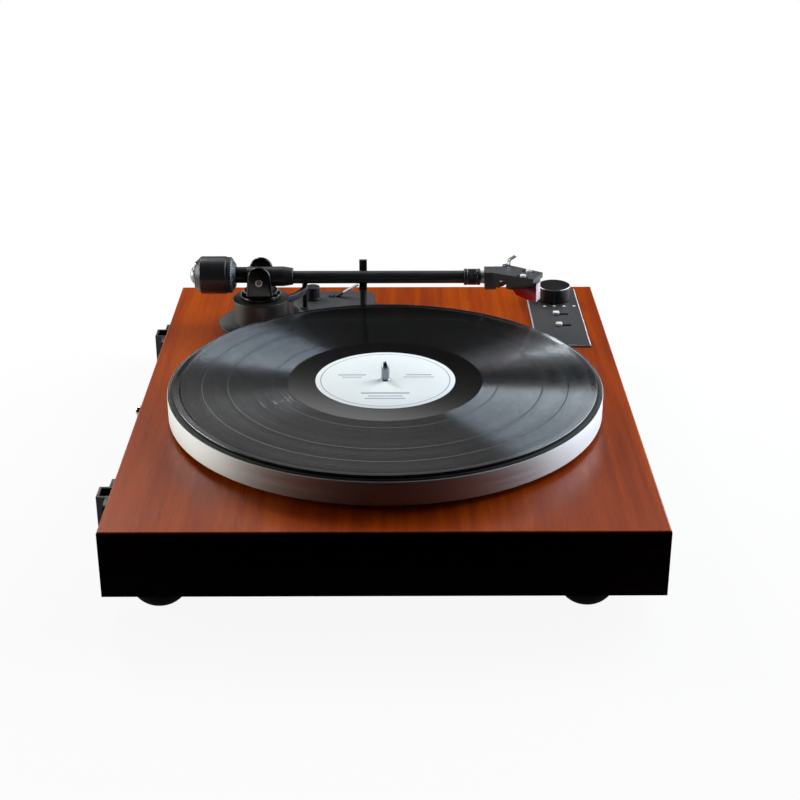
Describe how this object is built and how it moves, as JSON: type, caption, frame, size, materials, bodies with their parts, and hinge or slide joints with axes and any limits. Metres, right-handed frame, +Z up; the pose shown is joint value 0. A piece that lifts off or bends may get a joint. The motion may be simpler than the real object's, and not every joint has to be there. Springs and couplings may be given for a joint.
{
  "type": "automatic turntable",
  "caption": "Belt-driven automatic turntable: veneered plinth on domed feet, silver-rimmed platter with a record, straight pivoted arm with counterweight, control panel and empty lid sockets.",
  "frame": {"origin": "centre of the bounding box at floor level", "axes": "+X to the right of the player, +Y to its back where the lid sockets are, +Z up"},
  "size_m": [0.435, 0.368, 0.1187],
  "materials": {
    "veneer": "satin",
    "edge_veneer": "satin",
    "hardboard": "matt",
    "steel": "satin",
    "foot_rubber": "matt",
    "black_plastic": "satin",
    "nickel": "polished",
    "white_plastic": "satin",
    "board_green": "satin",
    "brass": "satin",
    "belt_rubber": "matt",
    "gear_plastic": "satin",
    "polished_steel": "polished",
    "platter_aluminium": "satin",
    "mat_rubber": "matt",
    "vinyl": "gloss",
    "label_paper": "matt",
    "grey_plastic": "satin",
    "pillar_metal": "satin",
    "black_metal": "gloss",
    "black_aluminium": "satin",
    "silver_aluminium": "satin",
    "shell_plastic": "satin",
    "cartridge_plastic": "satin",
    "stylus_red": "gloss",
    "lead_wire": "satin",
    "lift_metal": "satin",
    "panel_metal": "satin",
    "knob_plastic": "satin"
  },
  "bodies": {
    "plinth": {"deck_board": "veneer", "front_rail": "edge_veneer", "rear_rail": "edge_veneer", "side_rails": "edge_veneer", "bottom_cover": "hardboard", "cover_screws": "steel", "feet": "foot_rubber", "hinge_socket_left": "black_plastic", "hinge_socket_right": "black_plastic", "hinge_screws": "steel", "rear_panel": "black_plastic", "rca_jacks": "nickel", "ground_terminal": "nickel", "dc_inlet": "black_plastic", "circuit_board": "board_green", "motor": "steel", "drive_belt": "belt_rubber", "mechanism_plate": "steel", "bearing_housing": "steel", "bearing_bush": "brass", "thrust_ball": "steel", "arm_base_plate": "black_plastic", "arm_platform": "grey_plastic", "arm_pillar": "pillar_metal", "pillar_bearings": "steel", "armrest": "black_plastic", "control_panel": "panel_metal", "switch_board": "board_green"},
    "platter": {"spindle": "polished_steel", "drive_pinion": "gear_plastic", "platter": "platter_aluminium", "platter_mat": "mat_rubber"},
    "record": {"record": "vinyl", "record_label": "label_paper"},
    "pulley": {"motor_pulley": "brass"},
    "cam": {"cam_gear": "gear_plastic"},
    "swing": {"arm_shaft": "steel", "arm_yoke": "black_metal", "pivot_screws": "polished_steel"},
    "arm": {"arm_bearing_block": "black_plastic", "arm_tube": "black_aluminium", "counterweight_stub": "black_aluminium", "headshell": "shell_plastic", "headshell_screws": "polished_steel", "finger_lift": "polished_steel", "cartridge_body": "cartridge_plastic", "stylus_holder": "stylus_red", "cantilever": "silver_aluminium", "headshell_leads": "lead_wire"},
    "weight": {"counterweight": "black_metal", "counterweight_cap": "silver_aluminium"},
    "dial": {"force_dial": "silver_aluminium"},
    "collar": {"locking_collar": "black_aluminium"},
    "lift": {"lift_bar": "lift_metal"},
    "lift_lever": {"lift_lever": "silver_aluminium"},
    "anti_skate": {"anti_skate_knob": "black_plastic"},
    "knob": {"control_knob": "knob_plastic"},
    "speed": {"speed_slider": "black_plastic"},
    "size": {"size_slider": "black_plastic"},
    "gain": {"gain_switch": "white_plastic"}
  },
  "joints": [
    {"name": "platter_spin", "type": "hinge", "parent": "plinth", "child": "platter", "pos_m": [-0.036, -0.0065, 0.082], "axis": [0, 0, 1], "continuous": true},
    {"name": "motor_spin", "type": "hinge", "parent": "plinth", "child": "pulley", "pos_m": [-0.11944, 0.07694, 0.07], "axis": [0, 0, 1], "continuous": true},
    {"name": "cam_spin", "type": "hinge", "parent": "plinth", "child": "cam", "pos_m": [0, 0.01513, 0.068], "axis": [0, 0, 1], "continuous": true},
    {"name": "record_lift", "type": "slide", "parent": "platter", "child": "record", "axis": [0, 0, 1], "range_m": [0, 0.08]},
    {"name": "arm_swing", "type": "hinge", "parent": "plinth", "child": "swing", "pos_m": [0.133, 0.0955, 0.092], "axis": [0, 0, -1], "range_deg": [0, 40]},
    {"name": "arm_tilt", "type": "hinge", "parent": "swing", "child": "arm", "pos_m": [0.133, 0.0955, 0.1015], "axis": [-1, 0, 0], "range_deg": [-0.25, 5]},
    {"name": "lift_bar_slide", "type": "slide", "parent": "plinth", "child": "lift", "axis": [0, 0, 1], "range_m": [-0.0003, 0.0031]},
    {"name": "lift_lever_turn", "type": "hinge", "parent": "plinth", "child": "lift_lever", "pos_m": [0.17, 0.0385, 0.0693], "axis": [-1, 0, 0], "range_deg": [-3, 41]},
    {"name": "weight_slide", "type": "slide", "parent": "arm", "child": "weight", "axis": [0, 1, 0], "range_m": [-0.002, 0.004]},
    {"name": "dial_turn", "type": "hinge", "parent": "weight", "child": "dial", "pos_m": [0.133, 0.1165, 0.1035], "axis": [0, 1, 0], "continuous": true},
    {"name": "collar_turn", "type": "hinge", "parent": "arm", "child": "collar", "pos_m": [0.133, -0.0745, 0.1015], "axis": [0, 1, 0], "range_deg": [0, 60]},
    {"name": "anti_skate_turn", "type": "hinge", "parent": "plinth", "child": "anti_skate", "pos_m": [0.165, 0.0551, 0.074], "axis": [0, 0, 1], "range_deg": [0, 270]},
    {"name": "knob_turn", "type": "hinge", "parent": "plinth", "child": "knob", "pos_m": [0.1815, -0.1483, 0.07], "axis": [0, 0, -1], "range_deg": [-45, 90]},
    {"name": "speed_slide", "type": "slide", "parent": "plinth", "child": "speed", "axis": [0, -1, 0], "range_m": [0, 0.008]},
    {"name": "size_slide", "type": "slide", "parent": "plinth", "child": "size", "axis": [0, -1, 0], "range_m": [0, 0.008]},
    {"name": "gain_slide", "type": "slide", "parent": "plinth", "child": "gain", "axis": [1, 0, 0], "range_m": [0, 0.004]}
  ],
  "couplings": [
    {"joint": "motor_spin", "follows": "platter_spin", "ratio": 16},
    {"joint": "cam_spin", "follows": "platter_spin", "ratio": -0.2},
    {"joint": "lift_bar_slide", "follows": "arm_tilt", "m_per_rad": 0.034},
    {"joint": "lift_lever_turn", "follows": "arm_tilt", "ratio": 8}
  ]
}
